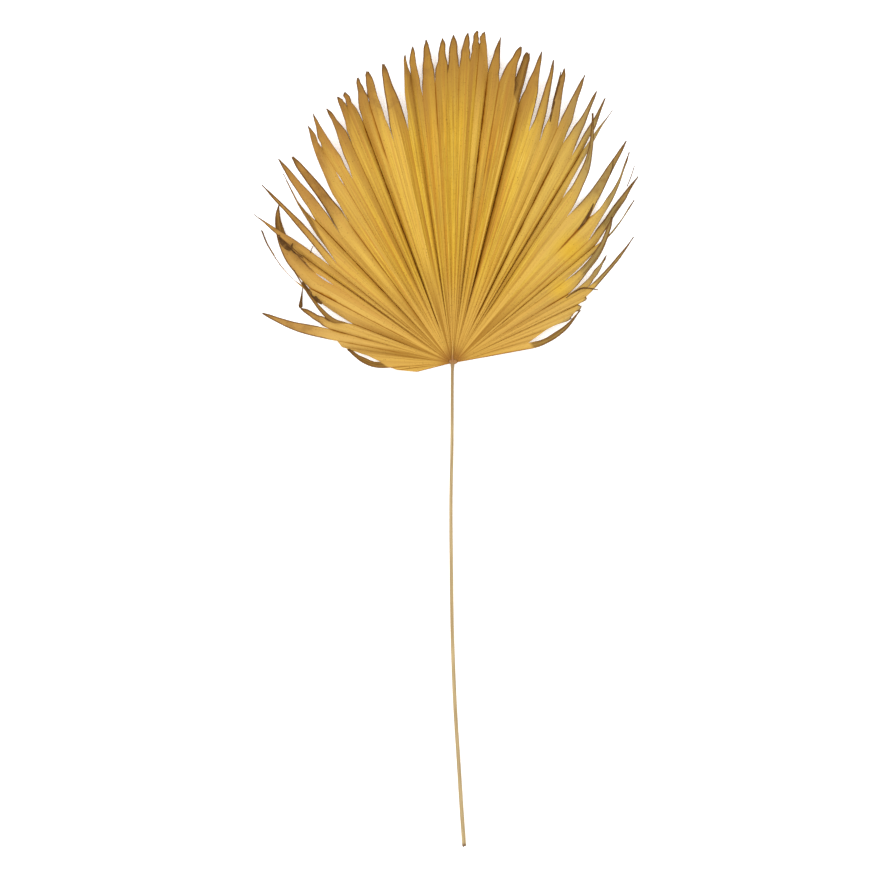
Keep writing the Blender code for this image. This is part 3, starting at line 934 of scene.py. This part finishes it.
def painted_crease_shade_colour(nodes, colour, gap, width, dark, ray, reach, settings):
    """Painted shade along the folds: a dark line with a softer painted shade beside it, a little uneven in
    width.
    """
    uneven = nodes.noise(nodes.stretched(ray, 1.0, reach, 14.0, 3.5), 1.0, 3.0, 0.6)
    width = nodes.math("MULTIPLY", width, nodes.ramp(uneven, 0.3, 0.7, 0.65, 1.5))
    near = nodes.math("DIVIDE", gap, width)
    core = nodes.ramp(near, 1.0, 0.6)
    shade = nodes.math("MULTIPLY", nodes.ramp(near, 2.4, 0.8), dark)
    colour = nodes.mix(nodes.math("MULTIPLY", shade, settings.painted_shade_in_folds), colour, CREASE_SOFT_PAINTED_SHADE)
    core = nodes.math("MULTIPLY", core, dark)
    return nodes.mix(nodes.math("MULTIPLY", core, settings.painted_shade_in_folds), colour, CREASE_PAINTED_SHADE)


def blade_finish(settings):
    """Dry golden blade with fibres, painted shade along the creases and under neighbours, painted light and
    shade on the pleat halves, brown tips, hub and undersides.
    """
    finish = bpy.data.materials.new("dry_leaf_blade")
    nodes = Nodes(finish)
    ray, reach = nodes.uv("ray")
    gap, dark = nodes.uv("fold")
    free, underside_and_shade = nodes.uv("free")
    tone_and_painted_light, width = nodes.uv("tone_and_painted_light")
    where, axes = nodes.place()
    colour, broad, fibres, fine = fibre_colour(nodes, settings, ray, reach, where)
    colour = region_colour(nodes, colour, tone_and_painted_light, ray, reach, where, axes)
    colour = free_colour(nodes, colour, free, underside_and_shade, gap, reach, where, (broad, fibres), axes)
    specks = nodes.math("MULTIPLY", nodes.ramp(nodes.noise(where, 620.0, 1.0, 0.5), 0.66, 0.74), 0.5)
    colour = nodes.mix(specks, colour, SPECK)
    colour = painted_crease_shade_colour(nodes, colour, gap, width, dark, ray, reach, settings)
    nodes.plug(nodes.shader.inputs["Base Color"], colour)
    nodes.shader.inputs["Roughness"].default_value = settings.roughness
    nodes.shader.inputs["Specular IOR Level"].default_value = 0.05
    relief = nodes.math("ADD", nodes.math("MULTIPLY", fibres, 0.6), nodes.math("MULTIPLY", fine, 0.4))
    nodes.bump(relief, 0.0006)
    return finish


def stalk_finish(settings):
    """Pale straw stalk with fine lengthwise lines, redder at the hub, brown at the cut."""
    finish = bpy.data.materials.new("dry_leaf_stalk")
    nodes = Nodes(finish)
    turn, run = nodes.uv("stalk")
    axes = nodes.place()[1]
    lines = nodes.noise(nodes.stretched(turn, 26.0, run, 16.0, 2.5), 1.0, 3.0, 0.6)
    bands = nodes.noise(nodes.stretched(turn, 3.0, run, 9.0, 6.5), 1.0, 2.0, 0.5)
    colour = nodes.mix(nodes.ramp(lines, 0.3, 0.7), STALK_SHADE, tuple(settings.straw))
    colour = nodes.mix(nodes.ramp(bands, 0.5, 0.75, 0.0, 0.45), colour, STALK_WARM)
    upper = nodes.ramp(axes[1], HUB_Y - 0.10, HUB_Y - 0.01, 0.0, 0.8)
    colour = nodes.mix(upper, colour, STALK_UPPER)
    colour = nodes.mix(nodes.ramp(axes[1], HUB_Y - 0.006, HUB_Y + 0.001, 0.0, 0.8), colour, HUB)
    colour = nodes.mix(nodes.ramp(axes[1], HUB_Y + 0.004, HUB_Y + 0.014, 0.0, 0.85), colour, RIDGE)
    end = HUB_Y + STALK_LINE[-1][1] * MM
    colour = nodes.mix(nodes.ramp(axes[1], end + 0.005, end + 0.0005, 0.0, 0.8), colour, CUT)
    nodes.plug(nodes.shader.inputs["Base Color"], colour)
    nodes.shader.inputs["Roughness"].default_value = 0.5
    nodes.shader.inputs["Specular IOR Level"].default_value = 0.4
    nodes.bump(lines, 0.0004)
    return finish


def plain_finish(name, colour, roughness):
    finish = bpy.data.materials.new(name)
    finish.use_nodes = True
    shader = finish.node_tree.nodes["Principled BSDF"]
    shader.inputs["Base Color"].default_value = (*colour, 1.0)
    shader.inputs["Roughness"].default_value = roughness
    return finish


def shred_and_painted_shade_finish():
    """Dark brown of the dead shreds, which are partly painted shade."""
    finish = bpy.data.materials.new("dead_shred_and_painted_shade")
    nodes = Nodes(finish)
    where = nodes.place()[0]
    colour = nodes.mix(nodes.ramp(nodes.noise(where, 120.0, 3.0, 0.6), 0.45, 0.8), DARK_UNDERSIDE_AND_SHADE, PALER_UNDERSIDE_AND_SHADE)
    nodes.plug(nodes.shader.inputs["Base Color"], colour)
    nodes.shader.inputs["Roughness"].default_value = 0.7
    nodes.shader.inputs["Specular IOR Level"].default_value = 0.15
    return finish




class LeafSettings(bpy.types.PropertyGroup):
    """What the dried leaf is made with."""

    golden: FloatVectorProperty(
        name="Golden", description="Main colour of the blade", subtype="COLOR",
        size=3, min=0.0, max=1.0, default=(0.56, 0.345, 0.028))
    shadow: FloatVectorProperty(
        name="Between fibres", description="Colour between the fibres", subtype="COLOR",
        size=3, min=0.0, max=1.0, default=(0.34, 0.180, 0.017))
    pale: FloatVectorProperty(
        name="Pale fibres", description="Colour of the palest fibres", subtype="COLOR",
        size=3, min=0.0, max=1.0, default=(0.68, 0.475, 0.090))
    straw: FloatVectorProperty(
        name="Straw", description="Colour of the stalk", subtype="COLOR",
        size=3, min=0.0, max=1.0, default=(0.475, 0.355, 0.170))
    # Strength of the painted shade along the folds
    painted_shade_in_folds: FloatProperty(
        name="Crease darkness", description="How dark the folds are", default=1.0, min=0.0, max=1.0)
    roughness: FloatProperty(
        name="Roughness", description="Roughness of the dry blade", default=0.6, min=0.0, max=1.0)
    fibres: FloatProperty(
        name="Fibres", description="Fibres across one segment", default=8.0, min=1.0, max=30.0)
    thickness: FloatProperty(
        name="Thickness", description="Thickness of the dry blade", default=0.35 * MM,
        min=0.1 * MM, max=0.8 * MM, unit="LENGTH")
    sheet_steps: IntProperty(
        name="Sheet rows", description="Rows from the hub to a split", default=26, min=6, max=60)
    tip_steps: IntProperty(
        name="Tip rows", description="Rows along a free part", default=22, min=6, max=60)


class StudioSettings(bpy.types.PropertyGroup):
    """The pale studio around the leaf."""

    sky: FloatProperty(
        name="Sky", description="Strength of the even light from all around",
        default=1.3, min=0.0, max=5.0)
    key: FloatProperty(
        name="Key light", description="Power of the large lamp", default=40.0, min=0.0,
        max=2000.0, unit="POWER")
    lens: FloatProperty(
        name="Lens", description="Focal length of the camera in millimetres",
        default=200.0, min=20.0, max=400.0)
    span: FloatProperty(
        name="Span", description="Width of the picture at the height of the blade",
        default=1.0894, min=0.1, max=5.0, unit="LENGTH")
    glow: FloatProperty(
        name="Floor glow", description="How much the floor shines like a light table",
        default=0.32, min=0.0, max=1.0)
    floor: FloatProperty(
        name="Floor", description="Paleness of the floor", default=0.92, min=0.0, max=1.0)


def show(name, mesh, finish):
    """Put a finished piece into the scene, at the origin."""
    piece = bpy.data.objects.new(name, mesh)
    bpy.context.scene.collection.objects.link(piece)
    piece.data.materials.append(finish)
    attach(piece, "root")
    return piece


class LEAF_OT_blade(bpy.types.Operator):
    """Build the pleated fan with its free tips"""

    bl_idname = "palm_leaf.blade"
    bl_label = "Build blade"

    def execute(self, context):
        settings = context.scene.palm_leaf
        mesh = blade_mesh(settings)
        hold_inside(mesh, settings.thickness)
        piece = show("leaf_fan", mesh, blade_finish(settings))
        body = piece.modifiers.new("thickness", "SOLIDIFY")
        body.thickness = settings.thickness
        body.offset = 1.0
        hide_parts("leaf_blade")
        return {"FINISHED"}


class LEAF_OT_stalk(bpy.types.Operator):
    """Build the stalk with its grooves, its ridge and its cut end"""

    bl_idname = "palm_leaf.stalk"
    bl_label = "Build stalk"

    def execute(self, context):
        settings = context.scene.palm_leaf
        mesh = finished_tubes("leaf_stem", "stalk", (stalk_tube(), cap_tube(), ridge_tube(), spur_tube()))
        piece = show("leaf_stem", mesh, stalk_finish(settings))
        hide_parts("leaf_stalk")
        return {"FINISHED"}


class LEAF_OT_shreds(bpy.types.Operator):
    """Build the dark folded shreds and threads between some tips, partly painted shade"""

    bl_idname = "palm_leaf.shreds"
    bl_label = "Build shreds"

    def execute(self, context):
        graph = context.evaluated_depsgraph_get()
        below = BVHTree.FromObject(bpy.data.objects["leaf_fan"], graph)
        mesh = finished_tubes("leaf_shreds", "stalk", [shred_tube(line, below) for line in SHREDS_AND_PAINTED_SHADE])
        piece = show("leaf_shreds", mesh, shred_and_painted_shade_finish())
        return {"FINISHED"}


class LEAF_OT_studio(bpy.types.Operator):
    """Build the pale floor, the soft light and the camera"""

    bl_idname = "palm_leaf.studio"
    bl_label = "Build studio"

    def execute(self, context):
        settings = context.scene.palm_studio
        add_floor(settings)
        add_light(settings)
        add_camera(context.scene, settings)
        return {"FINISHED"}


def stalk_tube():
    """Places and radii of the bare stalk."""
    points = smooth_line(STALK_LINE, STALK_STEPS)
    length = -STALK_LINE[-1][1]
    places, radii = [], []
    for x, y in points:
        share = min(max(-y / length, 0.0), 1.0)
        radius = STALK_RADIUS_HUB + (STALK_RADIUS_END - STALK_RADIUS_HUB) * share
        radius *= 1 + STALK_FLARE * ease(1 + y / STALK_FLARE_LENGTH)
        radius *= 1 + 0.03 * noise.noise(Vector((0.3, y * 0.03, 1.7)))
        places.append(Vector((HUB_X + x * MM, HUB_Y + y * MM, radius - STALK_FLAT)))
        radii.append(radius)
    return places, radii, STALK_AROUND, 0.05, True, 1.0


def hub_line(line):
    """Points given from the hub in mm, as places on the object."""
    return [Vector((HUB_X + x * MM, HUB_Y + y * MM, z * MM)) for x, y, z in line]


def ridge_tube():
    """Places and radii of the pale ridge over the first stretch of the blade."""
    values = smooth_line([(*point, radius) for point, radius in zip(RIDGE_LINE, RIDGE_RADII)], 5)
    places = hub_line([value[:3] for value in values])
    return places, [value[3] * MM for value in values], 14, 0.0, False, 1.0


def spur_tube():
    """Places and radii of the longer left sliver of the cut end."""
    places = hub_line(SPUR_LINE)
    return places, [radius * MM for radius in SPUR_RADII], 10, 0.0, True, 1.0


def cap_tube():
    """Places and radii of the flat swelling where stalk and pleats meet."""
    places, radii = [], []
    for step in range(CAP_STEPS + 1):
        turn = math.pi * step / CAP_STEPS
        x = -CAP_WIDE * math.cos(turn)
        places.append(Vector((HUB_X + x, HUB_Y + CAP_FORWARD, CAP_HEIGHT)))
        radii.append(max(CAP_LONG * math.sin(turn), 0.1 * MM))
    return places, radii, 16, 0.0, False, CAP_SQUASH


def shred_tube(line, below):
    """Places and radii of one flat dark shred, partly painted shade, lying on the blade where there is one
    below.
    """
    values = smooth_line(line, 5)
    places = []
    for x, y, height in (value[:3] for value in values):
        place = Vector((HUB_X + x * PICTURE_STEP, HUB_Y + y * PICTURE_STEP, height * MM))
        hit = below.ray_cast(place + Vector((0, 0, SHRED_FALL)), Vector((0, 0, -1)), SHRED_FALL * 2)[0]
        if hit:
            place.z = hit.z + SHRED_LIFT
        places.append(place)
    return places, [value[3] * PICTURE_STEP for value in values], 10, 0.0, False, SHRED_SQUASH


def add_floor(settings):
    """A wide pale floor that the leaf lies on."""
    shell = bmesh.new()
    bmesh.ops.create_grid(shell, x_segments=1, y_segments=1, size=6.0)
    mesh = bpy.data.meshes.new("floor")
    shell.to_mesh(mesh)
    shell.free()
    floor = bpy.data.objects.new("floor", mesh)
    bpy.context.scene.collection.objects.link(floor)
    finish = plain_finish("pale_floor", (settings.floor,) * 3, 0.9)
    shader = finish.node_tree.nodes["Principled BSDF"]
    shader.inputs["Emission Color"].default_value = (1.0, 1.0, 1.0, 1.0)
    shader.inputs["Emission Strength"].default_value = settings.glow
    floor.data.materials.append(finish)
    floor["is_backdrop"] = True


def add_light(settings):
    """An even sky and one large soft lamp from the upper left."""
    world = bpy.data.worlds.new("studio")
    bpy.context.scene.world = world
    world.use_nodes = True
    world.node_tree.nodes["Background"].inputs[0].default_value = (1.0, 1.0, 1.0, 1.0)
    world.node_tree.nodes["Background"].inputs[1].default_value = settings.sky
    for name, spot, size, power in (
            ("key", Vector((-2.2, 1.6, 3.2)), 1.6, settings.key),
            ("fill", Vector((2.0, -1.5, 3.6)), 3.0, settings.key * 0.4)):
        lamp = bpy.data.lights.new(name, "AREA")
        lamp.size = size
        lamp.energy = power
        holder = bpy.data.objects.new(name, lamp)
        holder.location = spot
        holder.rotation_euler = (-spot).to_track_quat("-Z", "Y").to_euler()
        bpy.context.scene.collection.objects.link(holder)


def add_camera(scene, settings):
    """A camera straight over the leaf, as in the photo."""
    data = bpy.data.cameras.new("view")
    data.lens = settings.lens
    data.sensor_width = 36.0
    height = settings.span / 2 / (data.sensor_width / 2 / data.lens)
    camera = bpy.data.objects.new("view", data)
    camera.location = (VIEW_X, VIEW_Y, VIEW_LEVEL + height)
    scene.collection.objects.link(camera)
    scene.camera = camera
    data.clip_end = 100.0
    scene.view_settings.view_transform = "Standard"


class LEAF_PT_panel(bpy.types.Panel):
    """Panel with the leaf's settings and one button for each piece"""

    bl_label = "Palm Leaf"
    bl_idname = "LEAF_PT_panel"
    bl_space_type = "VIEW_3D"
    bl_region_type = "UI"
    bl_category = "Palm Leaf"

    def draw(self, context):
        layout = self.layout
        for group in (context.scene.palm_leaf, context.scene.palm_studio):
            for name in group.bl_rna.properties.keys():
                if name not in ("rna_type", "name"):
                    layout.prop(group, name)
        for piece in (LEAF_OT_blade, LEAF_OT_stalk, LEAF_OT_shreds, LEAF_OT_studio):
            layout.operator(piece.bl_idname)


CLASSES = (
    LeafSettings,
    StudioSettings,
    LEAF_OT_blade,
    LEAF_OT_stalk,
    LEAF_OT_shreds,
    LEAF_OT_studio,
    LEAF_PT_panel,
)


def register():
    for cls in CLASSES:
        bpy.utils.register_class(cls)
    bpy.types.Scene.palm_leaf = PointerProperty(type=LeafSettings)
    bpy.types.Scene.palm_studio = PointerProperty(type=StudioSettings)


def unregister():
    del bpy.types.Scene.palm_studio
    del bpy.types.Scene.palm_leaf
    for cls in reversed(CLASSES):
        bpy.utils.unregister_class(cls)


def main():
    """Build the whole scene."""
    register()
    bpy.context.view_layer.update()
    bpy.ops.palm_leaf.blade()
    bpy.ops.palm_leaf.stalk()
    bpy.ops.palm_leaf.shreds()
    bpy.ops.palm_leaf.studio()


if __name__ == "__main__":
    main()
